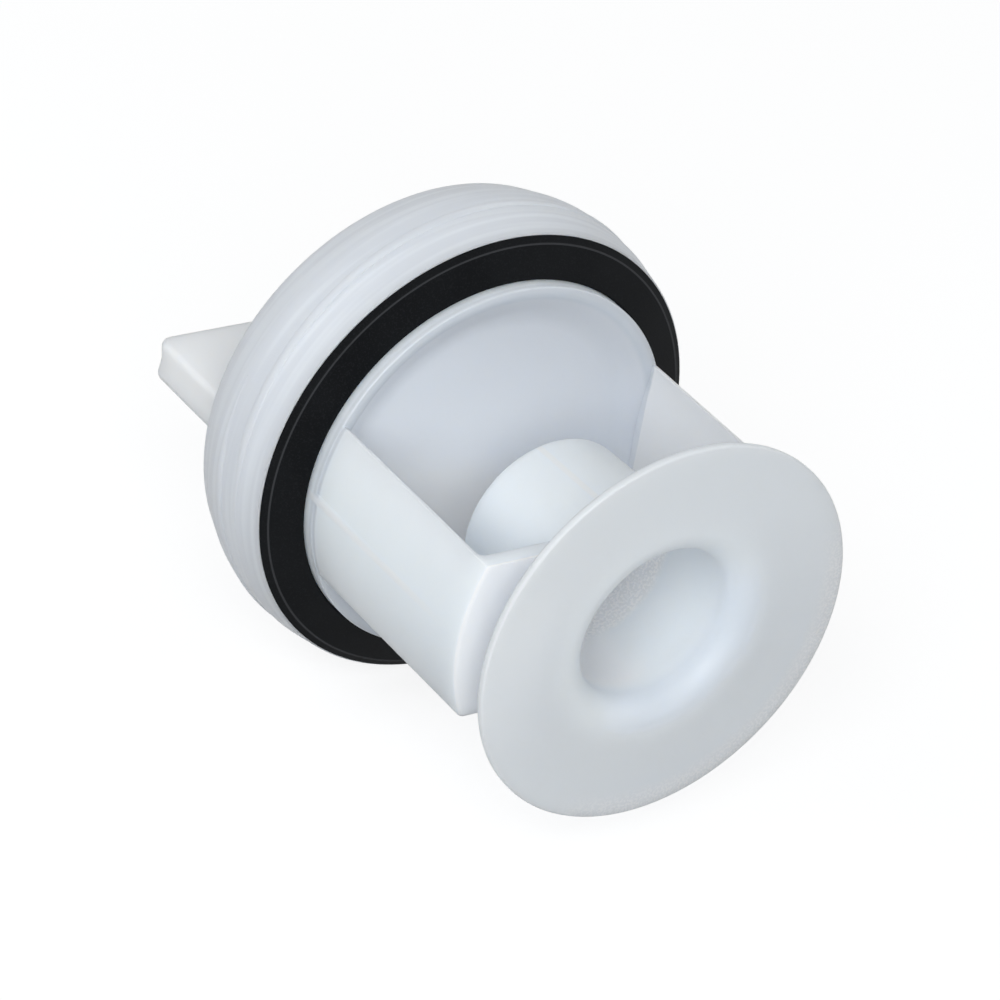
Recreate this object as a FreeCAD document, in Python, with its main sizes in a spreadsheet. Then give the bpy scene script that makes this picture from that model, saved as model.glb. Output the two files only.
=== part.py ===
import FreeCAD, Part
import math
import os
import re
import Sketcher

doc = FreeCAD.newDocument("washer_pump_filter")

# Driving sizes in millimetres. Lengths along the axis run from the cap's front face, where the ring sits.
SIZES = {
    "collar_radius": 26.5,
    "collar_rise": 3.7,
    "collar_wall": 2.4,
    "rim_width": 2.3,
    "rim_round": 1.3,
    "dish_depth": 2.1,
    "dish_round": 5.0,
    "plate_thickness": 2.3,
    "seat_width": 5.7,
    "cap_lead_rise": 0.8,
    "cap_lead_length": 4.2,
    "thread_length": 4.85,
    "barrel_length": 5.85,
    "skirt_taper": 2.0,
    "cap_length": 15.9,
    "cap_wall": 2.0,
    "cap_floor": 2.4,
    "cap_rim_round": 1.6,
    "hollow_round": 1.2,
    "grip_length": 55.6,
    "grip_thickness": 5.6,
    "grip_reach": 34.7,
    "grip_corner": 2.2,
    "grip_edge_round": 0.9,
    "web_drop": 2.5,
    "cage_reach": 43.7,
    "arm_inset": 0.1,
    "arm_width": 22.0,
    "arm_edge": 0.5,
    "bridge_setback": 6.8,
    "bridge_thickness": 2.5,
    "bridge_round": 0.6,
    "parting_rib_width": 0.7,
    "parting_rib_height": 0.2,
    "parting_rib_offset": 0.9,
    "disc_radius": 26.9,
    "disc_thickness": 1.1,
    "disc_edge_round": 0.35,
    "mouth_radius": 10.9,
    "lip_radius": 3.7,
    "neck_round": 4.0,
    "cup_length": 27.9,
    "cup_taper": 0.9,
    "cup_wall": 2.0,
    "cup_end_round": 1.2,
    "ring_slack": 0.05,
    "ring_width": 5.45,
    "ring_bore_height": 2.1,
    "ring_rim_height": 0.3,
    "ring_edge_round": 0.2,
}

sizes = doc.addObject("Spreadsheet::Sheet", "Sizes")
for row, (alias, size) in enumerate(SIZES.items(), start=1):
    sizes.set("A%d" % row, alias)
    sizes.set("B%d" % row, str(size))
    sizes.setAlias("B%d" % row, alias)
doc.recompute()

# Sizes that follow from the driving ones, written in their names.
ARM_RADIUS = "(collar_radius - arm_inset)"
ARM_EDGE_X = "sqrt(%s ^ 2 - (arm_width / 2) ^ 2)" % ARM_RADIUS
CAP_LEAD_RADIUS = "(collar_radius + seat_width)"
CAP_RADIUS = "(collar_radius + seat_width + cap_lead_rise)"
BARREL_END = "(cap_lead_length + barrel_length)"
SKIRT_RADIUS = "(%s - skirt_taper)" % CAP_RADIUS
SKIRT_RISE = "(cap_length - %s)" % BARREL_END
SKIRT_SLOPE = "sqrt(skirt_taper ^ 2 + %s ^ 2)" % SKIRT_RISE
CAP_RIM_RUN = "(cap_rim_round * (%s - skirt_taper) / %s)" % (SKIRT_SLOPE, SKIRT_RISE)
HOLLOW_RADIUS = "(%s - cap_wall)" % SKIRT_RADIUS
PLATE_FRONT = "(dish_depth - collar_rise)"
PLATE_BACK = "(dish_depth - collar_rise + plate_thickness)"
RIM_INNER = "(collar_radius - rim_width)"
DISH_RUN = "sqrt(2 * dish_round * dish_depth - dish_depth ^ 2)"
DISC_FRONT = "-cage_reach"
DISC_BACK = "(disc_thickness - cage_reach)"
BRIDGE_FRONT = "(bridge_setback - cage_reach)"
BRIDGE_BACK = "(bridge_setback + bridge_thickness - cage_reach)"
CUP_END = "(cup_length - cage_reach)"
CUP_NECK_RADIUS = "(mouth_radius + cup_wall)"
CUP_END_RADIUS = "(mouth_radius + cup_wall - cup_taper)"
CUP_BORE_END = "(mouth_radius - cup_taper)"
GRIP_HALF = "(grip_length / 2)"
RING_BORE = "(collar_radius + ring_slack)"
RING_RADIUS = "(collar_radius + ring_slack + ring_width)"
THREAD_END = "cap_lead_length + thread_length"

# An arc of an outline turns left or right as the outline is followed.
LEFT = 1
RIGHT = -1
SAME_PLACE = 1e-4


def bound(text):
    """The text as an expression that reads the sheet."""
    return re.sub(r"[a-z_]+", lambda m: "Sizes." + m.group() if m.group() in SIZES else m.group(), text)


def value(text):
    """The number that the text stands for now."""
    return float(sizes.evalExpression(bound(text)))


def origin_plane(body, role):
    return next(f for f in body.Origin.OriginFeatures if f.Role == role)


def outline_curve(start, end, bend):
    """A line, or an arc with the given radius and turn, between two points of an outline."""
    if bend is None:
        return Part.LineSegment(start, end)
    radius_text, turn = bend
    radius = value(radius_text)
    chord = end - start
    side = FreeCAD.Vector(-chord.y, chord.x, 0).normalize() * turn
    centre = (start + end) / 2 + side * math.sqrt(max(radius ** 2 - chord.Length ** 2 / 4, 0))
    first, last = (start, end) if turn == LEFT else (end, start)
    angles = [math.atan2(p.y - centre.y, p.x - centre.x) for p in (first, last)]
    if angles[1] < angles[0]:
        angles[1] += 2 * math.pi
    return Part.ArcOfCircle(Part.Circle(centre, FreeCAD.Vector(0, 0, 1), radius), *angles)


def place_point(sketch, name, across, along, geo, pos):
    """Ties one point of a sketch to the sheet, or to the sketch's axes where it lies on them."""
    for kind, axis, text in (("DistanceX", -2, across), ("DistanceY", -1, along)):
        if text == "0":
            sketch.addConstraint(Sketcher.Constraint("PointOnObject", geo, pos, axis))
            continue
        number = sketch.addConstraint(Sketcher.Constraint(kind, -1, 1, geo, pos, value(text)))
        label = name + kind[-1].lower()
        sketch.renameConstraint(number, label)
        sketch.setExpression("Constraints." + label, bound(text))


def outline(body, name, role, paths, lift=None):
    """Sketch of closed outlines; each point is (across, along, bend to the next point)."""
    sketch = body.newObject("Sketcher::SketchObject", name)
    sketch.AttachmentSupport = [(origin_plane(body, role), "")]
    sketch.MapMode = "FlatFace"
    if lift is not None:
        sketch.setExpression("AttachmentOffset.Base.z", bound(lift))
    for path_number, path in enumerate(paths):
        points = [FreeCAD.Vector(value(x), value(y), 0) for x, y, _ in path]
        first = sketch.GeometryCount
        ends = []
        for i, (_, _, bend) in enumerate(path):
            curve = outline_curve(points[i], points[(i + 1) % len(path)], bend)
            geo = sketch.addGeometry(curve, False)
            backwards = bend is not None and bend[1] == RIGHT
            ends.append((2, 1) if backwards else (1, 2))
            if bend is not None:
                number = sketch.addConstraint(Sketcher.Constraint("Radius", geo, value(bend[0])))
                label = "path%dradius%d" % (path_number, i)
                sketch.renameConstraint(number, label)
                sketch.setExpression("Constraints." + label, bound(bend[0]))
        for i, (x, y, _) in enumerate(path):
            before = (i - 1) % len(path)
            sketch.addConstraint(
                Sketcher.Constraint("Coincident", first + before, ends[before][1], first + i, ends[i][0])
            )
            place_point(sketch, "path%dpoint%d" % (path_number, i), x, y, first + i, ends[i][0])
    doc.recompute()
    return sketch


def turned(body, kind, name, sketch):
    """A profile turned once round the body's long axis."""
    feature = body.newObject(kind, name)
    feature.Profile = (sketch, [""])
    feature.ReferenceAxis = (sketch, ["V_Axis"])
    feature.Angle = 360
    sketch.Visibility = False
    doc.recompute()
    return feature


def padded(body, name, sketch, length, midplane=False):
    feature = body.newObject("PartDesign::Pad", name)
    feature.Profile = (sketch, [""])
    feature.setExpression("Length", bound(length))
    feature.Midplane = midplane
    sketch.Visibility = False
    doc.recompute()
    return feature


def rounded(body, name, radius, test):
    """Rounds the edges of the body's last feature that pass the test."""
    base = body.Tip
    names = ["Edge%d" % (i + 1) for i, edge in enumerate(base.Shape.Edges) if test(edge)]
    feature = body.newObject("PartDesign::Fillet", name)
    feature.Base = (base, names)
    feature.setExpression("Radius", bound(radius))
    doc.recompute()
    return feature


def near(a, b):
    return abs(a - b) < SAME_PLACE


def circle_at(edge, radius, along):
    """True for a full circle round the long axis with this radius at this place."""
    curve = edge.Curve
    return (
        isinstance(curve, Part.Circle)
        and near(curve.Radius, radius)
        and near(curve.Center.y, along)
        and near(edge.BoundBox.YLength, 0)
    )


def mirrored(path):
    """The same outline on the other side of the long axis, followed the same way round."""
    count = len(path)
    flipped = []
    for i in range(count - 1, -1, -1):
        x, y, _ = path[i]
        flipped.append(("-(%s)" % x, y, path[(i - 1) % count][2]))
    return flipped


# The one moulding: cap, collar, cage and nose.
body = doc.addObject("PartDesign::Body", "filter_body")
body.Label = "filter_body"

# Grip bar, rounded by itself so that its edges hold wherever it meets the cap.
GRIP = [
    (GRIP_HALF, "cap_length - web_drop", None),
    (GRIP_HALF, "grip_reach - grip_corner", ("grip_corner", LEFT)),
    (GRIP_HALF + " - grip_corner", "grip_reach", None),
]
grip_profile = outline(body, "grip_profile", "XY_Plane", [GRIP + mirrored(GRIP)])
padded(body, "grip", grip_profile, "grip_thickness", midplane=True)
rounded(
    body, "grip_edges", "grip_edge_round",
    lambda edge: near(edge.BoundBox.ZLength, 0)
    and near(abs(edge.BoundBox.Center.z), value("grip_thickness") / 2)
    and edge.BoundBox.Center.y > value("cap_length"),
)

# Web under the grip, across the cap's hollow and let into its wall on each side.
WEB = [
    ("collar_radius - collar_wall / 2", PLATE_FRONT + " + plate_thickness / 2", None),
    ("collar_radius - collar_wall / 2", "cap_floor / 2", None),
    (HOLLOW_RADIUS + " + cap_wall / 2", "cap_floor / 2", None),
    (HOLLOW_RADIUS + " + cap_wall / 2", "cap_length - web_drop", None),
]
web_profile = outline(body, "web_profile", "XY_Plane", [WEB + mirrored(WEB)])
padded(body, "web", web_profile, "grip_thickness", midplane=True)

# Dished plate, collar, flange and hollow screw cap with a tapered skirt, as one turned section.
cap_profile = outline(body, "cap_profile", "XY_Plane", [[
    ("0", PLATE_FRONT, None),
    (RIM_INNER + " - " + DISH_RUN, PLATE_FRONT, ("dish_round", RIGHT)),
    (RIM_INNER, "-collar_rise", None),
    ("collar_radius - rim_round", "-collar_rise", ("rim_round", LEFT)),
    ("collar_radius", "rim_round - collar_rise", None),
    ("collar_radius", "0", None),
    (CAP_LEAD_RADIUS, "0", None),
    (CAP_RADIUS, "cap_lead_length", None),
    (CAP_RADIUS, BARREL_END, None),
    (
        "%s + %s * skirt_taper / %s" % (SKIRT_RADIUS, CAP_RIM_RUN, SKIRT_SLOPE),
        "cap_length - %s * %s / %s" % (CAP_RIM_RUN, SKIRT_RISE, SKIRT_SLOPE),
        ("cap_rim_round", LEFT),
    ),
    (SKIRT_RADIUS + " - " + CAP_RIM_RUN, "cap_length", None),
    (HOLLOW_RADIUS, "cap_length", None),
    (HOLLOW_RADIUS, "cap_floor + hollow_round", ("hollow_round", RIGHT)),
    (HOLLOW_RADIUS + " - hollow_round", "cap_floor", None),
    ("collar_radius - collar_wall", "cap_floor", None),
    ("collar_radius - collar_wall", PLATE_BACK, None),
    ("0", PLATE_BACK, None),
]])
turned(body, "PartDesign::Revolution", "cap_and_collar", cap_profile)

# Two cage arms with a round outer face and a flat inner one, rooted in the collar.
ARM = [
    (ARM_EDGE_X, "-arm_width / 2", (ARM_RADIUS, LEFT)),
    (ARM_EDGE_X, "arm_width / 2", None),
    (ARM_EDGE_X + " - arm_edge", "arm_width / 2", None),
    (ARM_EDGE_X + " - arm_edge", "-arm_width / 2", None),
]
arm_profile = outline(body, "arm_profile", "XZ_Plane", [ARM, mirrored(ARM)], lift="-" + PLATE_FRONT)
padded(body, "arms", arm_profile, PLATE_FRONT + " - " + BRIDGE_FRONT)

# Bridge from arm to arm behind the nose.
bridge_profile = outline(body, "bridge_profile", "XY_Plane", [[
    ("-" + ARM_EDGE_X, BRIDGE_FRONT, None),
    (ARM_EDGE_X, BRIDGE_FRONT, None),
    (ARM_EDGE_X, BRIDGE_BACK, None),
    ("-" + ARM_EDGE_X, BRIDGE_BACK, None),
]])
padded(body, "bridge", bridge_profile, "arm_width", midplane=True)
rounded(
    body, "bridge_corners", "bridge_round",
    lambda edge: circle_at(edge, value(ARM_RADIUS), value(BRIDGE_FRONT)),
)

# Fine ridge left by the mould's parting line along each arm.
RIB = [
    (ARM_RADIUS + " - arm_edge", BRIDGE_FRONT + " + bridge_round", None),
    (ARM_RADIUS + " + parting_rib_height", BRIDGE_FRONT + " + bridge_round", None),
    (ARM_RADIUS + " + parting_rib_height", "rim_round - collar_rise", None),
    (ARM_RADIUS + " - arm_edge", "rim_round - collar_rise", None),
]
rib_profile = outline(body, "rib_profile", "XY_Plane", [RIB, mirrored(RIB)], lift="parting_rib_offset")
padded(body, "parting_ribs", rib_profile, "parting_rib_width", midplane=True)

# Nose disc and the outside of its cup.
nose_profile = outline(body, "nose_profile", "XY_Plane", [[
    ("0", DISC_FRONT, None),
    ("disc_radius - disc_edge_round", DISC_FRONT, ("disc_edge_round", LEFT)),
    ("disc_radius", DISC_FRONT + " + disc_edge_round", None),
    ("disc_radius", DISC_BACK + " - disc_edge_round", ("disc_edge_round", LEFT)),
    ("disc_radius - disc_edge_round", DISC_BACK, None),
    (CUP_NECK_RADIUS + " + neck_round", DISC_BACK, ("neck_round", RIGHT)),
    (CUP_NECK_RADIUS, DISC_BACK + " + neck_round", None),
    (CUP_END_RADIUS, CUP_END + " - cup_end_round", ("cup_end_round", LEFT)),
    (CUP_END_RADIUS + " - cup_end_round", CUP_END, None),
    ("0", CUP_END, None),
]])
turned(body, "PartDesign::Revolution", "nose", nose_profile)

# Blind bore of the cup, through the bridge, with its rolled mouth.
bore_profile = outline(body, "bore_profile", "XY_Plane", [[
    ("0", DISC_FRONT, None),
    ("mouth_radius", DISC_FRONT, None),
    (CUP_BORE_END, CUP_END + " - cup_wall", None),
    ("0", CUP_END + " - cup_wall", None),
]])
turned(body, "PartDesign::Groove", "cup_bore", bore_profile)
rounded(
    body, "mouth_lip", "lip_radius",
    lambda edge: circle_at(edge, value("mouth_radius"), value(DISC_FRONT)),
)
body.setExpression("Placement.Base.y", "-(%s)" % bound(THREAD_END))

# Rubber ring with a wedge section, on the collar and against the flange.
ring = doc.addObject("PartDesign::Body", "sealing_ring")
ring.Label = "sealing_ring"
ring_profile = outline(ring, "ring_profile", "XY_Plane", [[
    (RING_BORE, "0", None),
    (RING_BORE, "-ring_bore_height", None),
    (RING_RADIUS, "-ring_rim_height", None),
    (RING_RADIUS, "0", None),
]])
turned(ring, "PartDesign::Revolution", "ring_section", ring_profile)
rounded(
    ring, "ring_edges", "ring_edge_round",
    lambda edge: circle_at(edge, value(RING_RADIUS), value("-ring_rim_height"))
    or circle_at(edge, value(RING_BORE), value("-ring_bore_height")),
)
ring.setExpression("Placement.Base.y", "-(%s)" % bound(THREAD_END))
doc.recompute()

for item in doc.Objects:
    if "Invalid" in item.State or "Error" in item.State:
        raise RuntimeError("%s: %s" % (item.Label, item.State))

os.makedirs("parts", exist_ok=True)
for piece in (body, ring):
    if piece.Shape.isNull() or not piece.Shape.isValid() or len(piece.Shape.Solids) != 1:
        raise RuntimeError("%s is not one sound solid" % piece.Label)
    piece.Shape.exportStep("parts/%s.step" % piece.Label)
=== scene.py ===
import math
from collections import namedtuple

import bpy
from mathutils import Matrix, Vector


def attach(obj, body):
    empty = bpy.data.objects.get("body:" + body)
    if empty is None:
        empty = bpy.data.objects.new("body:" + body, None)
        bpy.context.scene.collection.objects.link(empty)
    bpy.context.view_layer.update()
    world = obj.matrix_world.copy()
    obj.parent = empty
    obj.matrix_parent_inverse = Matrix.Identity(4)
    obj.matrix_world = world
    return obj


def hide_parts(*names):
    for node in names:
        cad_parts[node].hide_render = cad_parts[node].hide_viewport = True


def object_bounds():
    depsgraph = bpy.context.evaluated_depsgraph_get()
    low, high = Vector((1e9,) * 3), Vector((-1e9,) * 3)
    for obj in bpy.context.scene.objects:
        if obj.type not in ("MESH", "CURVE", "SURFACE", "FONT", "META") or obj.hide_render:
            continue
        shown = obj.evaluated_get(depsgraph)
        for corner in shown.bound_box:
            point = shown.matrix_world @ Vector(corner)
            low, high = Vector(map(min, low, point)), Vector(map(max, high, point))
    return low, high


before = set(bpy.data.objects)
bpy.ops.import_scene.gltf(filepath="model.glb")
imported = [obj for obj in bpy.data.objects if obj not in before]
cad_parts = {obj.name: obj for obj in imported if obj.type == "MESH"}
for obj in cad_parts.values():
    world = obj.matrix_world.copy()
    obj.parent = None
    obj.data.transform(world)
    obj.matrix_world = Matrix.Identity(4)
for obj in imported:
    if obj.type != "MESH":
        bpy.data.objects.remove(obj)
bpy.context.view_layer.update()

MM = 0.001
ROUND_STEPS = 192

# Sizes of the moulding in mm: radii from the long axis, and places along it (nose at -Y, grip at +Y)
DISC_RADIUS, DISC_FRONT, DISC_BACK, DISC_FLAT_END = 26.9, -52.75, -51.65, 21.0
LIP_RADIUS, MOUTH_RADIUS = 3.7, 10.9
CUP_FLOOR, CUP_END, CUP_FLOOR_RADIUS, CUP_END_RADIUS = -26.85, -24.85, 10.0, 12.0
NECK_RADIUS, NECK_ROUND = 12.9, 4.0
BRIDGE_FRONT, BRIDGE_BACK = -45.95, -43.45
ARM_RADIUS, ARM_INNER, ARM_HALF_WIDTH, ARM_ROOT = 26.4, 23.5, 11.0, -9.4
RIM_TOP, RIM_CREST, COLLAR_RADIUS = -12.75, 25.3, 26.5
PLATE_FRONT, PLATE_BACK, DISH_RADIUS = -10.65, -8.35, 21.2
SEAT, CAP_FLOOR, COLLAR_BORE = -9.05, -6.65, 24.1
BARREL_FRONT, BARREL_END, BARREL_RADIUS, LEAD_RISE = -4.85, 1.0, 33.0, 0.8
CAP_RIM, SKIRT_RADIUS, HOLLOW_RADIUS = 6.85, 31.0, 29.0
GRIP_END, GRIP_HALF_LENGTH, GRIP_HALF_THICKNESS, GRIP_CORNER = 25.65, 27.8, 2.8, 2.2
WEB_TOP = 4.35

# Sizes of the rubber ring in mm
RING_BORE, RING_RADIUS, RING_FRONT, RING_RIM_FRONT = 26.55, 32.0, -11.15, -9.2
BEAD_INNER, BEAD_OUTER, BEAD_FOOT = (30.95, -9.72), (31.12, -9.7), (31.3, -9.56)

# Roundings of the turned pieces in mm
DISH_ROUND, CREST_ROUND, COLLAR_ROUND = 6.0, 2.0, 0.2
LEAD_ROUND, BARREL_FRONT_ROUND, BARREL_END_ROUND = 0.25, 0.9, 10.0
CAP_RIM_ROUND, HOLLOW_EDGE_ROUND, HOLLOW_ROUND = 1.6, 0.3, 1.2
COLLAR_BORE_EDGE_ROUND, COLLAR_BORE_ROUND = 0.4, 0.8
CUP_FLOOR_ROUND, CUP_END_ROUND = 0.9, 1.2
DISC_FRONT_ROUND, DISC_BACK_ROUND = 0.3, 0.35
STRAP_ROUND = 0.6

# A turned piece starts as a small disc of this radius in mm
CENTRE_DISC = 2.0
# Two places in mm closer than this are the same place
SAME_PLACE = 0.01


# Outlines, in mm

def rounded(corners, steps=5):
    """A line through corners (radius, place, rounding), with an arc at every rounded corner."""
    line = []
    for number, (radius, place, rounding) in enumerate(corners):
        corner = Vector((radius, place))
        if not rounding:
            line.append(corner)
            continue
        back = (Vector(corners[number - 1][:2]) - corner).normalized()
        ahead = (Vector(corners[(number + 1) % len(corners)][:2]) - corner).normalized()
        half = back.angle(ahead) / 2
        centre = corner + (back + ahead).normalized() * rounding / math.sin(half)
        first = corner + back * rounding / math.tan(half) - centre
        last = corner + ahead * rounding / math.tan(half) - centre
        turn = math.atan2(first.x * last.y - first.y * last.x, first.dot(last))
        for step in range(steps + 1):
            line.append(centre + Matrix.Rotation(turn * step / steps, 2) @ first)
    return [(point.x, point.y) for point in line]


def arc(radius, place, bend, start, end, steps):
    """Points on an arc of radius bend round (radius, place), from angle start to end in degrees."""
    angles = [math.radians(start + (end - start) * step / steps) for step in range(steps + 1)]
    return [(radius + bend * math.cos(angle), place + bend * math.sin(angle)) for angle in angles]


# Working on a piece

def deselect():
    bpy.ops.object.select_all(action="DESELECT")


def start_piece(name):
    """Names the new object and moves its place, turn and scale into its mesh."""
    piece = bpy.context.object
    piece.name = piece.data.name = name
    bpy.ops.object.transform_apply(location=True, rotation=True, scale=True)
    return piece


def pick(piece):
    deselect()
    piece.select_set(True)
    bpy.context.view_layer.objects.active = piece


def edit(kind="VERT"):
    bpy.ops.object.mode_set(mode="EDIT")
    bpy.ops.mesh.select_mode(type=kind)
    bpy.ops.mesh.select_all(action="DESELECT")


def done():
    bpy.ops.object.mode_set(mode="OBJECT")


def pick_edges(piece, wanted):
    """In edit mode, selects the edges whose two ends (in mm) pass the test."""
    edit("EDGE")
    done()
    points = [vertex.co / MM for vertex in piece.data.vertices]
    for edge in piece.data.edges:
        edge.select = wanted(points[edge.vertices[0]], points[edge.vertices[1]])
    bpy.ops.object.mode_set(mode="EDIT")


def pick_points(piece, wanted):
    """In edit mode, selects the points (in mm) that pass the test."""
    edit("VERT")
    done()
    for vertex in piece.data.vertices:
        vertex.select = wanted(vertex.co / MM)
    bpy.ops.object.mode_set(mode="EDIT")


def bevel(offset, segments):
    """Rounds the selected edges by an offset in mm."""
    bpy.ops.mesh.bevel(offset=offset * MM, segments=segments, affect="EDGES")


def close_mesh():
    """Merges the seams and poles, turns the faces outwards and leaves edit mode."""
    bpy.ops.mesh.select_all(action="SELECT")
    bpy.ops.mesh.remove_doubles(threshold=0.001 * MM)
    bpy.ops.mesh.normals_make_consistent(inside=False)
    done()


def finish_piece(piece, finish, smooth=32):
    """Shades a piece smooth up to an angle in degrees, keeps its flat faces flat and gives it its finish."""
    pick(piece)
    bpy.ops.object.shade_smooth_by_angle(angle=math.radians(smooth))
    bpy.ops.object.modifier_add(type="WEIGHTED_NORMAL")
    modifier = piece.modifiers[-1]
    modifier.keep_sharp = True
    modifier.weight = 90
    bpy.ops.object.modifier_apply(modifier=modifier.name)
    piece.data.materials.clear()
    piece.data.materials.append(finish)
    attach(piece, "root")


def combine(piece, tool, how):
    """Adds the tool's solid to the piece (UNION) or takes it out (DIFFERENCE)."""
    pick(piece)
    bpy.ops.object.modifier_add(type="BOOLEAN")
    modifier = piece.modifiers[-1]
    modifier.operation = how
    modifier.solver = "EXACT"
    modifier.object = tool
    bpy.ops.object.modifier_apply(modifier=modifier.name)
    bpy.data.objects.remove(tool)


def box_at(name, low, high):
    """A block between two corners in mm."""
    deselect()
    low, high = Vector(low), Vector(high)
    bpy.ops.mesh.primitive_cube_add(size=1, location=(low + high) / 2 * MM)
    bpy.context.object.scale = (high - low) * MM
    return start_piece(name)


def turned(name, outline, hollow=False):
    """A turned piece: a circle drawn out along an outline of (radius, place) points in mm.
    A hollow one comes back to its first point, any other starts as a disc and ends on the axis."""
    deselect()
    radius, place = outline[0]
    bpy.ops.mesh.primitive_circle_add(
        vertices=ROUND_STEPS, radius=radius * MM, fill_type="NOTHING" if hollow else "TRIFAN",
        location=(0, place * MM, 0), rotation=(math.pi / 2, 0, 0),
    )
    piece = start_piece(name)
    edit()
    bpy.ops.mesh.select_non_manifold(extend=False, use_wire=True, use_boundary=True)
    for next_radius, next_place in outline[1:]:
        bpy.ops.mesh.extrude_edges_move(
            TRANSFORM_OT_translate={"value": (0, (next_place - place) * MM, 0)}
        )
        grow = next_radius / radius
        bpy.ops.transform.resize(value=(grow, 1, grow), center_override=(0, next_place * MM, 0))
        radius, place = next_radius, next_place
    close_mesh()
    return piece


def turn_piece(piece, degrees):
    """Turns a piece about the long axis, in its mesh."""
    pick(piece)
    piece.matrix_world = Matrix.Rotation(math.radians(degrees), 4, "Y") @ piece.matrix_world
    bpy.ops.object.transform_apply(location=True, rotation=True, scale=True)
    return piece


def own_copy(piece, name):
    """A copy with its own mesh."""
    pick(piece)
    bpy.ops.object.duplicate(linked=False)
    return start_piece(name)


def mirrored_copy(piece, name):
    """A copy with its own mesh, on the other side of the long axis."""
    copy = own_copy(piece, name)
    copy.scale.x = -1
    start_piece(name)
    edit()
    close_mesh()
    return copy


def weld(name, pieces):
    """Joins solids that overlap into one closed skin."""
    body = pieces[0]
    for piece in pieces[1:]:
        combine(body, piece, "UNION")
    body.name = body.data.name = name
    return body


# Small helpers for node trees

def add_node(tree, kind, place, **settings):
    node = tree.nodes.new(kind)
    node.location = place
    for name, setting in settings.items():
        setattr(node, name, setting)
    return node


def link(tree, source, target):
    tree.links.new(source, target)


def feed(tree, socket, entry):
    if isinstance(entry, bpy.types.NodeSocket):
        link(tree, entry, socket)
    else:
        socket.default_value = entry


def calc(tree, operation, place, *entries, clamp=False):
    node = add_node(tree, "ShaderNodeMath", place, operation=operation, use_clamp=clamp)
    for socket, entry in zip(node.inputs, entries):
        feed(tree, socket, entry)
    return node.outputs[0]


def ramp(tree, place, value, low, high, to_low=0.0, to_high=1.0, soft=True):
    """Takes a value from the range low to high to the range to_low to to_high."""
    node = add_node(
        tree, "ShaderNodeMapRange", place, interpolation_type="SMOOTHSTEP" if soft else "LINEAR"
    )
    for label, entry in (
        ("Value", value), ("From Min", low), ("From Max", high), ("To Min", to_low), ("To Max", to_high)
    ):
        feed(tree, node.inputs[label], entry)
    return node.outputs["Result"]


def blend_colour(tree, place, factor, first, second):
    node = add_node(tree, "ShaderNodeMix", place, data_type="RGBA", blend_type="MIX")
    feed(tree, node.inputs["Factor"], factor)
    feed(tree, node.inputs[6], first)
    feed(tree, node.inputs[7], second)
    return node.outputs[2]


def new_group(name, inputs, outputs):
    tree = bpy.data.node_groups.new(name, "ShaderNodeTree")
    for label, kind, default in inputs:
        socket = tree.interface.new_socket(label, in_out="INPUT", socket_type=kind)
        if default is not None:
            socket.default_value = default
    for label, kind in outputs:
        tree.interface.new_socket(label, in_out="OUTPUT", socket_type=kind)
    start = add_node(tree, "NodeGroupInput", (-900, 0))
    end = add_node(tree, "NodeGroupOutput", (700, 0))
    return tree, start, end


def place_group(tree, group, place, **entries):
    node = add_node(tree, "ShaderNodeGroup", place)
    node.node_tree = group
    for label, entry in entries.items():
        feed(tree, node.inputs[label.replace("_", " ")], entry)
    return node


# Shared finishes

def spark_grain():
    """Fine pebble left by a spark-eroded mould, as a height and a speckle."""
    tree, start, end = new_group(
        "spark grain",
        [("Vector", "NodeSocketVector", None), ("Pebbles per metre", "NodeSocketFloat", 3000.0)],
        [("Height", "NodeSocketFloat"), ("Speckle", "NodeSocketFloat")],
    )
    noise = add_node(tree, "ShaderNodeTexNoise", (-600, 150), noise_dimensions="3D")
    noise.inputs["Detail"].default_value = 1.0
    noise.inputs["Roughness"].default_value = 0.6
    link(tree, start.outputs["Vector"], noise.inputs["Vector"])
    link(tree, start.outputs["Pebbles per metre"], noise.inputs["Scale"])
    link(tree, noise.outputs["Fac"], end.inputs["Height"])
    link(tree, ramp(tree, (-300, -250), noise.outputs["Fac"], 0.42, 0.62), end.inputs["Speckle"])
    return tree


def drifting_tone():
    """Two close tones that drift into each other over a surface."""
    tree, start, end = new_group(
        "drifting tone",
        [
            ("Vector", "NodeSocketVector", None),
            ("Patches per metre", "NodeSocketFloat", 60.0),
            ("Tone", "NodeSocketColor", (0.8, 0.8, 0.8, 1)),
            ("Other tone", "NodeSocketColor", (0.7, 0.7, 0.7, 1)),
        ],
        [("Color", "NodeSocketColor")],
    )
    noise = add_node(tree, "ShaderNodeTexNoise", (-600, 0), noise_dimensions="3D")
    noise.inputs["Detail"].default_value = 0.0
    link(tree, start.outputs["Vector"], noise.inputs["Vector"])
    link(tree, start.outputs["Patches per metre"], noise.inputs["Scale"])
    drift = ramp(tree, (-350, 0), noise.outputs["Fac"], 0.3, 0.7)
    colour = blend_colour(tree, (-100, 0), drift, start.outputs["Tone"], start.outputs["Other tone"])
    link(tree, colour, end.inputs["Color"])
    return tree


GRAIN = spark_grain()
DRIFT = drifting_tone()


def new_material(name):
    material = bpy.data.materials.new(name)
    material.use_nodes = True
    tree = material.node_tree
    tree.nodes.clear()
    output = add_node(tree, "ShaderNodeOutputMaterial", (900, 0))
    shader = add_node(tree, "ShaderNodeBsdfPrincipled", (600, 0))
    link(tree, shader.outputs[0], output.inputs["Surface"])
    place = add_node(tree, "ShaderNodeTexCoord", (-1300, 0)).outputs["Object"]
    return material, tree, shader, place


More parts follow.
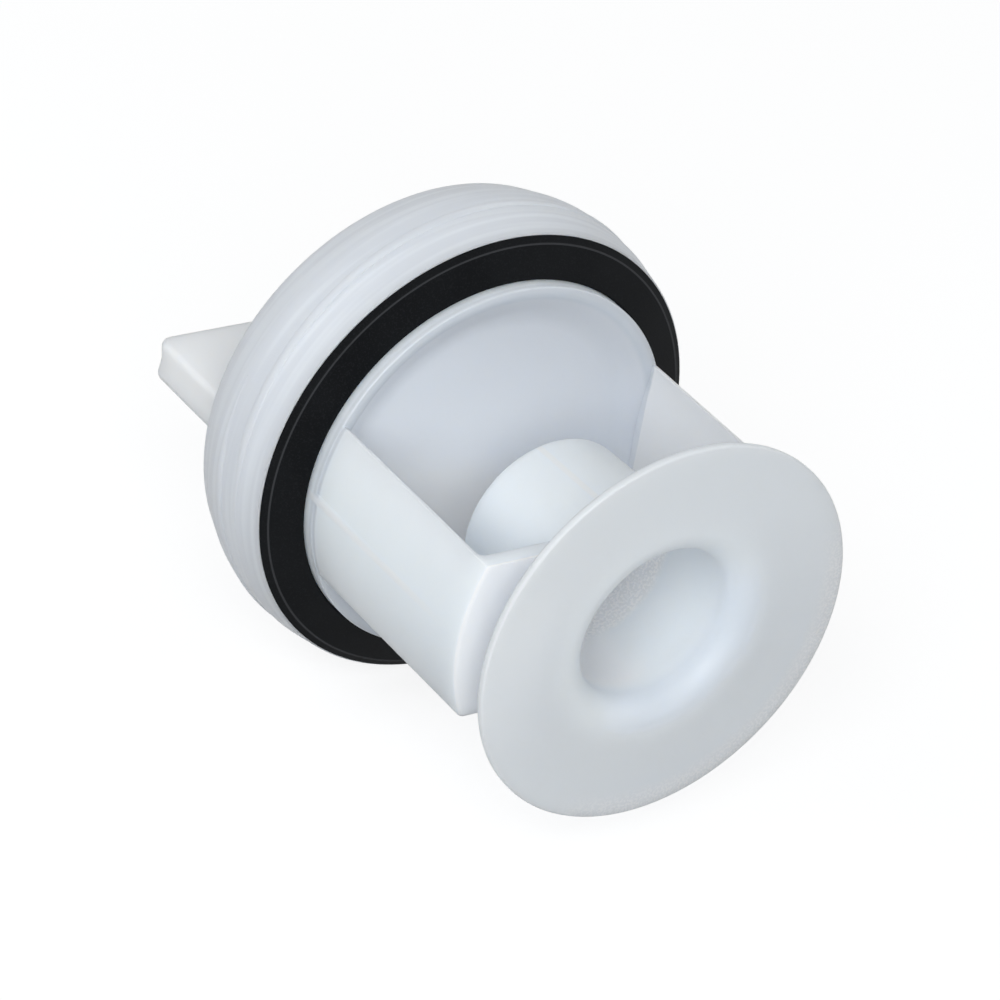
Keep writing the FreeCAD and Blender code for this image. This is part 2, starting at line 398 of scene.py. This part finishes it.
def add_bump(tree, shader, height, strength, depth):
    """Turns a height into a bump with a depth in mm."""
    bump = add_node(tree, "ShaderNodeBump", (350, -300))
    bump.inputs["Strength"].default_value = strength
    bump.inputs["Distance"].default_value = depth * MM
    link(tree, height, bump.inputs["Height"])
    link(tree, bump.outputs["Normal"], shader.inputs["Normal"])


# Where a point of a surface lies: across, along and above the long axis and away from it, in metres
Places = namedtuple("Places", "across along upwards from_axis")


def axis_places(tree, place):
    parts = add_node(tree, "ShaderNodeSeparateXYZ", (-1100, -300))
    link(tree, place, parts.inputs[0])
    across, along, upwards = parts.outputs
    squares = calc(
        tree, "ADD", (-800, -300),
        calc(tree, "MULTIPLY", (-900, -250), across, across),
        calc(tree, "MULTIPLY", (-900, -400), upwards, upwards),
    )
    return Places(across, along, upwards, calc(tree, "SQRT", (-700, -300), squares))


def rise(tree, place, value, start, end):
    """Goes from nought to one where a value in metres goes from start to end, in mm."""
    return ramp(tree, place, value, start * MM, end * MM)


def band(tree, place, value, low, high, fade):
    """One where a value in metres lies between two places in mm, fading out over a length in mm."""
    left, height = place
    return calc(
        tree, "MULTIPLY", place,
        rise(tree, (left - 200, height), value, low - fade, low),
        rise(tree, (left - 200, height - 150), value, high + fade, high),
    )


def all_of(tree, place, *masks):
    result = masks[0]
    for mask in masks[1:]:
        result = calc(tree, "MULTIPLY", place, result, mask)
    return result


# White plastic: its two close tones, and the tone of each region, most of them painted light or painted shade

MILK, DEEPER_MILK = (0.835, 0.89, 0.97, 1), (0.815, 0.87, 0.952, 1)
# Painted light: the cup's bore is painted lighter, most on its left side, as a glow through the milky walls
BORE_GLOW_TONE = (0.97, 0.975, 0.98, 1)
# Painted shade: the lower right of the rolled lip is painted darker
LIP_SHADE_TONE = (0.7, 0.745, 0.805, 1)
# Painted light: the inner face of the right arm is painted lighter
RIGHT_ARM_LIGHT_TONE = (0.95, 0.965, 0.985, 1)
# Painted shade: the plate between the arms is painted darker
PLATE_SHADE_TONE = (0.82, 0.85, 0.9, 1)
# Painted shade: the plate darker towards its upper right
UPPER_PLATE_SHADE_TONE = (0.68, 0.7, 0.735, 1)
# Painted light: the plate lighter towards its lower left
LOWER_PLATE_LIGHT_TONE = (0.97, 0.965, 0.96, 1)
# Painted shade: the collar's rim round the plate is painted darker
RIM_SHADE_TONE = (0.62, 0.655, 0.7, 1)
# Painted shade: the cap's barrel is painted darker and greyer
BARREL_SHADE_TONE = (0.71, 0.732, 0.77, 1)
# Painted light: the grip is painted lighter and bluer
GRIP_LIGHT_TONE = (0.92, 0.958, 0.995, 1)
PALE_TONE = (0.85, 0.878, 0.912, 1)
# Painted light: the front of the bridge glows a warm near-white
BRIDGE_GLOW_TONE, BRIDGE_GLOW_SHARE = (0.99, 0.975, 0.97, 1), 0.9
# Painted glints of the grain and the painted shade between them
GRAIN_SHADE_TONE, GRAIN_GLINT_TONE = (0.87, 0.885, 0.9, 1), (1.0, 1.0, 1.0, 1)
STREAK_SHARE = 0.4
STREAK_STRETCH = (30.0, 850.0, 30.0)
# The seam down the cup lies 15 degrees off upright
SEAM_ACROSS, SEAM_UPWARDS = 0.966, 0.259


def rough_mould(tree, at, low_right):
    """The mould is rougher deep in the cup and along the lower right edge of the disc; there the base colour
    also gets painted glints and painted shade between them.
    """
    in_cup = all_of(
        tree, (-400, -300),
        band(tree, (-500, -300), at.along, -36.8, -26.2, 1.6),
        band(tree, (-500, -450), at.from_axis, 0.0, 11.2, 0.4),
    )
    on_disc_edge = all_of(
        tree, (-400, -600),
        rise(tree, (-600, -600), at.from_axis, 22.5, 26.5),
        rise(tree, (-600, -750), at.along, -52.3, -52.6),
        rise(tree, (-600, -900), low_right, 8, 26),
    )
    return calc(tree, "ADD", (-300, -400), in_cup, on_disc_edge, clamp=True)


def parting_line(tree, at):
    """The parting line shows as a paler line along each arm and down the cup."""
    arm_line = all_of(
        tree, (-400, 900),
        band(tree, (-500, 900), at.upwards, 0.7, 1.1, 0.6),
        band(tree, (-500, 1050), at.from_axis, 25.9, 26.6, 0.2),
        rise(tree, (-500, 1200), at.along, -45, -30),
    )
    beside_seam = calc(
        tree, "ADD", (-700, 1350),
        calc(tree, "MULTIPLY", (-800, 1350), at.across, SEAM_ACROSS),
        calc(tree, "MULTIPLY", (-800, 1500), at.upwards, SEAM_UPWARDS),
    )
    cup_line = all_of(
        tree, (-400, 1350),
        band(tree, (-500, 1350), beside_seam, -0.2, 0.2, 0.4),
        band(tree, (-500, 1500), at.from_axis, 11.7, 13.1, 0.2),
        rise(tree, (-500, 1650), at.upwards, 5, 7),
        band(tree, (-500, 1800), at.along, -46, -24.5, 3),
    )
    return calc(tree, "ADD", (-300, 1100), arm_line, cup_line, clamp=True)


def barrel_streaks(tree, place, at):
    """Milky streaks that run round the barrel."""
    drawn_round = add_node(tree, "ShaderNodeVectorMath", (-900, 600), operation="MULTIPLY")
    link(tree, place, drawn_round.inputs[0])
    drawn_round.inputs[1].default_value = STREAK_STRETCH
    streak = add_node(tree, "ShaderNodeTexNoise", (-700, 600), noise_dimensions="3D")
    streak.inputs["Scale"].default_value = 1.0
    streak.inputs["Detail"].default_value = 1.0
    link(tree, drawn_round.outputs[0], streak.inputs["Vector"])
    return all_of(
        tree, (-400, 600),
        ramp(tree, (-500, 600), streak.outputs["Fac"], 0.4, 0.68),
        rise(tree, (-500, 450), at.from_axis, 30.6, 31.4),
    )


def region_tones(tree, at, low_right, pale):
    """Each region of the moulding as a mask, with the tone that it takes on: painted light or painted shade
    in most regions, the pale parting line and streaks in their own colour.
    """
    # Painted light: the bore lighter, most towards its left side
    bore_glow = all_of(
        tree, (-400, 1950),
        band(tree, (-500, 1950), at.along, -46.0, -25.8, 3.0),
        band(tree, (-500, 2100), at.from_axis, 0.0, 11.2, 0.4),
        rise(tree, (-500, 2000), at.across, 6, -2),
    )
    # Painted shade on the lower right of the lip
    lip_shade = all_of(
        tree, (-400, 3450),
        band(tree, (-500, 3450), at.from_axis, 11.2, 13.4, 1.6),
        band(tree, (-500, 3600), at.along, -52.8, -50.6, 3.0),
        rise(tree, (-500, 3750), low_right, 1, 15),
    )
    # Painted light on the inner face of the right arm
    right_arm_light = all_of(
        tree, (-400, 3900),
        band(tree, (-500, 3900), at.across, 23.2, 23.9, 0.3),
        band(tree, (-500, 4050), at.along, -45.0, -13.0, 0.5),
    )
    # The plate, which takes a painted shade
    on_plate = all_of(
        tree, (-400, 2250),
        band(tree, (-500, 2250), at.along, -12.9, -9.5, 0.3),
        band(tree, (-500, 2400), at.from_axis, 0.0, 25.5, 0.8),
    )
    # Painted shade towards the plate's upper right, painted light towards its lower left
    up_right = calc(tree, "MULTIPLY_ADD", (-700, 2550), at.across, 0.4, at.upwards)
    upper_plate_shade = all_of(tree, (-300, 2550), on_plate, rise(tree, (-500, 2550), up_right, 2, 25))
    lower_plate_light = all_of(tree, (-300, 2700), on_plate, rise(tree, (-500, 2700), up_right, 4, -10))
    # Painted shade on the collar's rim
    rim_shade = all_of(
        tree, (-400, 3000),
        band(tree, (-500, 3000), at.along, -13.0, -12.3, 0.5),
        band(tree, (-500, 3150), at.from_axis, 25.0, 26.2, 0.8),
    )
    # Painted light: a warm glow on the bridge's front face
    bridge_glow = all_of(
        tree, (-400, 150),
        band(tree, (-500, 150), at.along, -46.2, -45.8, 0.3),
        rise(tree, (-500, 0), at.from_axis, 13, 18),
    )
    return (
        (bore_glow, BORE_GLOW_TONE),
        (lip_shade, LIP_SHADE_TONE),
        (right_arm_light, RIGHT_ARM_LIGHT_TONE),
        (on_plate, PLATE_SHADE_TONE),
        (upper_plate_shade, UPPER_PLATE_SHADE_TONE),
        (lower_plate_light, LOWER_PLATE_LIGHT_TONE),
        (rim_shade, RIM_SHADE_TONE),
        # Painted shade on the barrel
        (rise(tree, (-500, 2850), at.from_axis, 29.5, 31.0), BARREL_SHADE_TONE),
        # Painted light on the grip
        (rise(tree, (-500, 3300), at.along, 6.0, 9.0), GRIP_LIGHT_TONE),
        (pale, PALE_TONE),
        (calc(tree, "MULTIPLY", (-150, 200), bridge_glow, BRIDGE_GLOW_SHARE), BRIDGE_GLOW_TONE),
    )


def milky_polypropylene():
    material, tree, shader, place = new_material("milky polypropylene")
    at = axis_places(tree, place)
    low_right = calc(tree, "SUBTRACT", (-700, -900), at.across, at.upwards)
    rough = rough_mould(tree, at, low_right)
    streaks = calc(tree, "MULTIPLY", (-300, 600), barrel_streaks(tree, place, at), STREAK_SHARE)
    pale = calc(tree, "MAXIMUM", (-200, 700), parting_line(tree, at), streaks)

    tone = place_group(
        tree, DRIFT, (-500, 300), Vector=place, Patches_per_metre=45.0, Tone=MILK, Other_tone=DEEPER_MILK
    )
    grain = place_group(tree, GRAIN, (-500, 0), Vector=place, Pebbles_per_metre=2600.0)
    # Painted glints where the grain's speckle is high, painted shade between them
    grain_glints = calc(tree, "MULTIPLY", (-150, 50), grain.outputs["Speckle"], rough)
    grain_shade = calc(tree, "SUBTRACT", (-100, 0), rough, grain_glints)
    colour = tone.outputs["Color"]
    tones = region_tones(tree, at, low_right, pale) + ((grain_shade, GRAIN_SHADE_TONE), (grain_glints, GRAIN_GLINT_TONE))
    for number, (mask, other) in enumerate(tones):
        colour = blend_colour(tree, (-250 + 50 * number, 450), mask, colour, other)
    link(tree, colour, shader.inputs["Base Color"])

    gloss = ramp(tree, (0, 50), grain.outputs["Speckle"], 0.0, 1.0, 0.38, 0.48, soft=False)
    link(tree, calc(tree, "MULTIPLY_ADD", (200, 50), rough, 0.12, gloss), shader.inputs["Roughness"])
    add_bump(tree, shader, grain.outputs["Height"], 0.5, 0.01)

    shader.inputs["IOR"].default_value = 1.49
    shader.inputs["Specular IOR Level"].default_value = 0.35
    shader.inputs["Subsurface Weight"].default_value = 1.0
    shader.inputs["Subsurface Radius"].default_value = (1.0, 0.96, 0.9)
    shader.inputs["Subsurface Scale"].default_value = 5.0 * MM
    return material


# Black rubber: its two close tones, the dust on it and a painted highlight along its bead

SOOT, PALER_SOOT = (0.0035, 0.004, 0.0048, 1), (0.005, 0.0056, 0.0065, 1)
DUST_TONE, DUST_SHARE = (0.03, 0.031, 0.033, 1), 0.2
# Painted highlight: a lighter line along the bead, where the chamfer catches the light
BEAD_HIGHLIGHT_TONE, BEAD_HIGHLIGHT_SHARE = (0.05, 0.051, 0.054, 1), 0.8


def moulded_rubber():
    material, tree, shader, place = new_material("moulded rubber")
    tone = place_group(
        tree, DRIFT, (-500, 250), Vector=place, Patches_per_metre=120.0, Tone=SOOT, Other_tone=PALER_SOOT
    )
    grain = place_group(tree, GRAIN, (-500, -100), Vector=place, Pebbles_per_metre=4200.0)
    dust = calc(
        tree, "MULTIPLY", (-250, 100),
        ramp(tree, (-350, 100), grain.outputs["Speckle"], 0.75, 1.0), DUST_SHARE,
    )
    # Painted highlight along the bead
    bead = band(tree, (-400, -300), axis_places(tree, place).from_axis, 30.98, 31.12, 0.1)
    bead_highlight = calc(tree, "MULTIPLY", (-100, -300), bead, BEAD_HIGHLIGHT_SHARE)
    colour = blend_colour(tree, (0, 250), dust, tone.outputs["Color"], DUST_TONE)
    colour = blend_colour(tree, (150, 250), bead_highlight, colour, BEAD_HIGHLIGHT_TONE)
    link(tree, colour, shader.inputs["Base Color"])
    gloss = ramp(tree, (0, -50), grain.outputs["Speckle"], 0.0, 1.0, 0.58, 0.72, soft=False)
    link(tree, gloss, shader.inputs["Roughness"])
    add_bump(tree, shader, grain.outputs["Height"], 0.2, 0.03)
    shader.inputs["Specular IOR Level"].default_value = 0.07
    return material


WHITE = milky_polypropylene()
BLACK = moulded_rubber()


# The moulding

def cap_and_collar():
    outline = rounded(
        [
            (CENTRE_DISC, PLATE_FRONT, 0),
            (DISH_RADIUS, PLATE_FRONT, DISH_ROUND),
            (RIM_CREST, RIM_TOP, CREST_ROUND),
            (COLLAR_RADIUS, RIM_TOP, COLLAR_ROUND),
            (COLLAR_RADIUS, SEAT, 0),
            (BARREL_RADIUS - LEAD_RISE, SEAT, LEAD_ROUND),
            (BARREL_RADIUS, BARREL_FRONT, BARREL_FRONT_ROUND),
            (BARREL_RADIUS, BARREL_END, BARREL_END_ROUND),
            (SKIRT_RADIUS, CAP_RIM, CAP_RIM_ROUND),
            (HOLLOW_RADIUS, CAP_RIM, HOLLOW_EDGE_ROUND),
            (HOLLOW_RADIUS, CAP_FLOOR, HOLLOW_ROUND),
            (COLLAR_BORE, CAP_FLOOR, COLLAR_BORE_EDGE_ROUND),
            (COLLAR_BORE, PLATE_BACK, COLLAR_BORE_ROUND),
            (0.0, PLATE_BACK, 0),
        ],
        8,
    )
    return turned("cap_and_collar", outline)


def nose_cup():
    """Blind cup with a rolled mouth, the nose disc round it and the neck behind the disc."""
    bore_end = DISC_FRONT + LIP_RADIUS
    bore = rounded(
        [
            (CENTRE_DISC, CUP_FLOOR, 0), (CUP_FLOOR_RADIUS, CUP_FLOOR, CUP_FLOOR_ROUND),
            (MOUTH_RADIUS, bore_end, 0),
        ]
    )
    lip = arc(MOUTH_RADIUS + LIP_RADIUS, bore_end, LIP_RADIUS, 183, 270, 18)
    disc_edge = rounded(
        [
            (DISC_FLAT_END, DISC_FRONT, 0), (DISC_RADIUS, DISC_FRONT, DISC_FRONT_ROUND),
            (DISC_RADIUS, DISC_BACK, DISC_BACK_ROUND), (DISC_FLAT_END, DISC_BACK, 0),
        ]
    )
    neck = arc(NECK_RADIUS + NECK_ROUND, DISC_BACK + NECK_ROUND, NECK_ROUND, -90, -178, 10)
    wall = rounded(
        [(NECK_RADIUS - 0.05, BRIDGE_FRONT, 0), (CUP_END_RADIUS, CUP_END, CUP_END_ROUND), (0.0, CUP_END, 0)]
    )
    return turned("nose_cup", bore[:-1] + lip + disc_edge + neck + wall)


def cage_strap():
    """The two arms and the bridge between them: a drum cut flat on both sides, with a window and a bore."""
    window_half_height, past_root = 20, 3
    bore_radius, bore_front, bore_back = 11.7, -50.0, -40.0
    blank = rounded(
        [
            (CENTRE_DISC, BRIDGE_FRONT, 0), (ARM_RADIUS, BRIDGE_FRONT, STRAP_ROUND),
            (ARM_RADIUS, ARM_ROOT, 0), (0.0, ARM_ROOT, 0),
        ]
    )
    # Turned by half a facet, so that its facets don't line up with the cap's and the union holds
    piece = turn_piece(turned("cage_strap", blank), 180 / ROUND_STEPS)
    edit()
    for side in (-1, 1):
        bpy.ops.mesh.select_all(action="SELECT")
        bpy.ops.mesh.bisect(
            plane_co=(0, 0, side * ARM_HALF_WIDTH * MM), plane_no=(0, 0, side),
            use_fill=True, clear_outer=True, threshold=0.0001 * MM,
        )
    close_mesh()
    window = box_at(
        "window", (-ARM_INNER, BRIDGE_BACK, -window_half_height),
        (ARM_INNER, ARM_ROOT + past_root, window_half_height),
    )
    combine(piece, window, "DIFFERENCE")
    bore = turned("bore", [(bore_radius, bore_front), (bore_radius, bore_back), (0.0, bore_back)])
    combine(piece, bore, "DIFFERENCE")
    pick(piece)

    def window_corner(one, other):
        return all(
            abs(abs(p.x) - ARM_INNER) < SAME_PLACE and abs(p.y - BRIDGE_BACK) < SAME_PLACE
            for p in (one, other)
        )

    pick_edges(piece, window_corner)
    bevel(0.9, 4)

    def side_edge(one, other):
        return all(abs(abs(p.z) - ARM_HALF_WIDTH) < SAME_PLACE for p in (one, other))

    pick_edges(piece, side_edge)
    bevel(0.14, 2)
    close_mesh()
    return piece


def grip_bar():
    sunk, cut = 1.2, 1.1
    piece = box_at(
        "grip_bar", (-GRIP_HALF_LENGTH, CAP_FLOOR - sunk, -GRIP_HALF_THICKNESS),
        (GRIP_HALF_LENGTH, GRIP_END, GRIP_HALF_THICKNESS),
    )
    pick(piece)

    def end_corner(one, other):
        return all(p.y > GRIP_END - SAME_PLACE for p in (one, other)) and abs(one.z - other.z) > 1

    pick_edges(piece, end_corner)
    bevel(GRIP_CORNER, 8)
    for height in (-cut, 0.0, cut):
        bpy.ops.mesh.select_all(action="SELECT")
        bpy.ops.mesh.bisect(plane_co=(0, 0, height * MM), plane_no=(0, 0, 1))

    # The two ends are slightly hollow
    end_start = GRIP_HALF_LENGTH - GRIP_CORNER - 0.1
    for height, hollow in ((0.0, 0.45), (cut, 0.3), (-cut, 0.3)):
        for side in (-1, 1):
            pick_points(piece, lambda p: abs(p.z - height) < SAME_PLACE and p.x * side > end_start)
            bpy.ops.transform.translate(value=(-side * hollow * MM, 0, 0))

    def outline_edge(one, other):
        on_face = all(abs(abs(p.z) - GRIP_HALF_THICKNESS) < SAME_PLACE for p in (one, other))
        return on_face and one.z * other.z > 0 and max(one.y, other.y) > CAP_FLOOR

    pick_edges(piece, outline_edge)
    bevel(1.0, 4)
    close_mesh()
    return piece


def grip_root():
    """The foot of the grip, which goes down through the collar's bore to the plate."""
    past_bore, sunk, thinner = 1.2, 1.1, 0.01
    piece = box_at(
        "grip_root", (-COLLAR_BORE - past_bore, PLATE_BACK - sunk, -GRIP_HALF_THICKNESS + thinner),
        (COLLAR_BORE + past_bore, CAP_FLOOR + 1.0, GRIP_HALF_THICKNESS - thinner),
    )
    pick(piece)

    def foot_edge(one, other):
        return all(p.y < PLATE_BACK for p in (one, other)) and abs(one.z - other.z) > 1

    pick_edges(piece, foot_edge)
    bevel(0.5, 2)
    close_mesh()
    return piece


def grip_webs():
    """A web from each end of the grip into the cap's wall."""
    into_grip, into_floor, into_wall = 2.5, 1.0, 0.8
    web = box_at(
        "grip_web_1", (GRIP_HALF_LENGTH - into_grip, CAP_FLOOR - into_floor, -GRIP_HALF_THICKNESS),
        (HOLLOW_RADIUS + into_wall, WEB_TOP, GRIP_HALF_THICKNESS),
    )
    pick(web)

    def top_edge(one, other):
        return all(p.y > WEB_TOP - SAME_PLACE for p in (one, other)) and abs(one.x - other.x) > 1

    pick_edges(web, top_edge)
    bevel(0.8, 3)
    close_mesh()
    return [web, turn_piece(own_copy(web, "grip_web_2"), 180)]


def parting_ribs():
    """A low soft rib along the outside of each arm, highest at the collar and fading out towards the nose."""
    half_height, half_width, above_middle, sinks = 0.22, 0.9, 0.9, 0.13
    start, end = RIM_TOP + 0.6, BRIDGE_FRONT + 2.8
    deselect()
    bpy.ops.mesh.primitive_circle_add(
        vertices=32, radius=MM, fill_type="NGON", rotation=(math.pi / 2, 0, 0),
        location=Vector((-ARM_RADIUS + 0.1, start, above_middle)) * MM,
    )
    bpy.context.object.scale = (half_height, half_width, 1)
    rib = start_piece("parting_rib_1")
    edit()
    bpy.ops.mesh.select_all(action="SELECT")
    bpy.ops.mesh.extrude_region_move(TRANSFORM_OT_translate={"value": (sinks * MM, (end - start) * MM, 0)})
    close_mesh()
    return [rib, mirrored_copy(rib, "parting_rib_2")]


def barrel_threads():
    """Two low right-handed threads, half a turn apart, that run back from the front of the barrel."""
    lead, height, half_width, sweep, steps = 8.1, 0.28, 0.75, 214.0, 96
    end_size, growth, start_turn = 0.2, 0.08, -192
    centre = Vector((BARREL_RADIUS - 0.05, BARREL_FRONT, 0)) * MM
    deselect()
    bpy.ops.mesh.primitive_circle_add(vertices=12, radius=end_size * MM, fill_type="NGON", location=centre)
    bpy.context.object.scale = (height, half_width, 1)
    thread = start_piece("barrel_thread_1")
    edit()
    bpy.ops.mesh.select_all(action="SELECT")
    turn = math.radians(sweep) / steps
    climb = lead * sweep / 360 / steps * MM
    size = end_size
    for step in range(1, steps + 1):
        bpy.ops.mesh.extrude_region_move(TRANSFORM_OT_translate={"value": (0, climb, 0)})
        bpy.ops.transform.rotate(value=-turn, orient_axis="Y", center_override=(0, 0, 0))
        centre = Matrix.Rotation(turn, 3, "Y") @ (centre + Vector((0, climb, 0)))
        next_size = min(1.0, end_size + growth * min(step, steps - step))
        grow = next_size / size
        bpy.ops.transform.resize(value=(grow, grow, grow), center_override=centre)
        size = next_size
    close_mesh()
    return [turn_piece(thread, start_turn), turn_piece(own_copy(thread, "barrel_thread_2"), 180)]


def moulded_ring():
    """Wedge rubber ring with a fine bead just inside its chamfered outer edge."""
    outline = rounded(
        [
            (RING_BORE, SEAT, 0.1),
            (RING_BORE, RING_FRONT, 0.25),
            (*BEAD_INNER, 0.1),
            (*BEAD_OUTER, 0.08),
            (*BEAD_FOOT, 0.1),
            (RING_RADIUS, RING_RIM_FRONT, 0.06),
            (RING_RADIUS, SEAT, 0.05),
        ]
    )
    piece = turned("moulded_ring", outline + outline[:1], hollow=True)
    finish_piece(piece, BLACK, 30)
    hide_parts("sealing_ring")


def moulded_body():
    """The whole white moulding in one skin."""
    solids = [cap_and_collar(), cage_strap(), nose_cup(), grip_bar(), grip_root()]
    piece = weld("moulded_body", solids + grip_webs() + parting_ribs() + barrel_threads())
    finish_piece(piece, WHITE)
    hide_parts("filter_body")


moulded_body()
moulded_ring()


# Stage: pale floor, soft light, camera

FLOOR_SIZE = 12.0
FLOOR_GREY, FLOOR_SEEN_GREY, FLOOR_GLOW = (0.45, 0.45, 0.45, 1), (0.25, 0.25, 0.25, 1), 0.82
ROOM_COLOUR, ROOM_LIGHT = (0.97, 0.985, 1.0, 1), 0.2
ROOM_SEEN_COLOUR, ROOM_SEEN_LIGHT = (1, 1, 1, 1), 1.0
SOFTBOX_SIZE, SOFTBOX_COLOUR = 0.7, (0.95, 0.98, 1.0)
# Each softbox with its place in metres and its power in watts
SOFTBOXES = (
    ("key softbox", (-0.56, -0.64, 0.52), 8.2),
    ("right softbox", (0.86, -0.3, 0.41), 1.5),
    ("top softbox", (0.6, 0.2, 0.77), 0.9),
    ("back softbox", (-0.65, 0.42, 0.63), 2.1),
)
# The camera's place in mm and its three axes
CAMERA_PLACE = (-343.1, -439.45, 330.5)
CAMERA_RIGHT, CAMERA_UP, CAMERA_BACK = (
    (0.82445, -0.54319, 0.15881), (0.17816, 0.51547, 0.83819), (-0.53715, -0.66276, 0.52175)
)


def seen_rays(tree, place):
    """One for the rays that show the background: to the camera, in a reflection and through a clear piece."""
    rays = add_node(tree, "ShaderNodeLightPath", place)
    return calc(
        tree, "ADD", (0, 300),
        calc(tree, "ADD", (-200, 300), rays.outputs["Is Camera Ray"], rays.outputs["Is Glossy Ray"]),
        rays.outputs["Is Transmission Ray"], clamp=True,
    )


def pale_floor():
    deselect()
    bpy.ops.mesh.primitive_plane_add(size=FLOOR_SIZE, location=(0, 0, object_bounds()[0].z))
    floor = bpy.context.object
    floor.name = "floor"
    material = bpy.data.materials.new("pale floor")
    material.use_nodes = True
    tree = material.node_tree
    tree.nodes.clear()
    output = add_node(tree, "ShaderNodeOutputMaterial", (600, 0))
    mix = add_node(tree, "ShaderNodeMixShader", (400, 0))
    link(tree, seen_rays(tree, (-400, 300)), mix.inputs["Fac"])
    plain = add_node(tree, "ShaderNodeBsdfDiffuse", (0, 100))
    plain.inputs["Color"].default_value = FLOOR_GREY
    shaded = add_node(tree, "ShaderNodeBsdfDiffuse", (0, -50))
    shaded.inputs["Color"].default_value = FLOOR_SEEN_GREY
    glow = add_node(tree, "ShaderNodeEmission", (0, -200))
    glow.inputs["Strength"].default_value = FLOOR_GLOW
    both = add_node(tree, "ShaderNodeAddShader", (200, -100))
    link(tree, shaded.outputs[0], both.inputs[0])
    link(tree, glow.outputs[0], both.inputs[1])
    link(tree, plain.outputs[0], mix.inputs[1])
    link(tree, both.outputs[0], mix.inputs[2])
    link(tree, mix.outputs[0], output.inputs["Surface"])
    floor.data.materials.append(material)


def pale_room():
    world = bpy.data.worlds.new("pale room")
    bpy.context.scene.world = world
    world.use_nodes = True
    tree = world.node_tree
    tree.nodes.clear()
    output = add_node(tree, "ShaderNodeOutputWorld", (600, 0))
    mix = add_node(tree, "ShaderNodeMixShader", (400, 0))
    link(tree, seen_rays(tree, (-400, 200)), mix.inputs["Fac"])
    for number, (colour, strength) in enumerate(
        ((ROOM_COLOUR, ROOM_LIGHT), (ROOM_SEEN_COLOUR, ROOM_SEEN_LIGHT)), start=1
    ):
        light = add_node(tree, "ShaderNodeBackground", (0, 150 - 150 * number))
        light.inputs["Color"].default_value = colour
        light.inputs["Strength"].default_value = strength
        link(tree, light.outputs[0], mix.inputs[number])
    link(tree, mix.outputs[0], output.inputs["Surface"])


def softbox(name, place, watts):
    """A square lamp that points at the part."""
    light = bpy.data.lights.new(name, "AREA")
    light.shape = "SQUARE"
    light.size = SOFTBOX_SIZE
    light.energy = watts
    light.color = SOFTBOX_COLOUR
    lamp = bpy.data.objects.new(name, light)
    bpy.context.scene.collection.objects.link(lamp)
    lamp.location = place
    lamp.rotation_euler = (-Vector(place)).to_track_quat("-Z", "Y").to_euler()


def photo_camera():
    lens = bpy.data.cameras.new("photo camera")
    lens.sensor_width = 36.0
    lens.lens = 180.0
    lens.clip_start = 0.01
    lens.clip_end = 50.0
    camera = bpy.data.objects.new("photo camera", lens)
    bpy.context.scene.collection.objects.link(camera)
    turn = Matrix((CAMERA_RIGHT, CAMERA_UP, CAMERA_BACK)).transposed().to_4x4()
    camera.matrix_world = Matrix.Translation(Vector(CAMERA_PLACE) * MM) @ turn
    bpy.context.scene.camera = camera


pale_floor()
pale_room()
for softbox_name, softbox_place, softbox_watts in SOFTBOXES:
    softbox(softbox_name, softbox_place, softbox_watts)
photo_camera()
bpy.context.scene.view_settings.view_transform = "Standard"
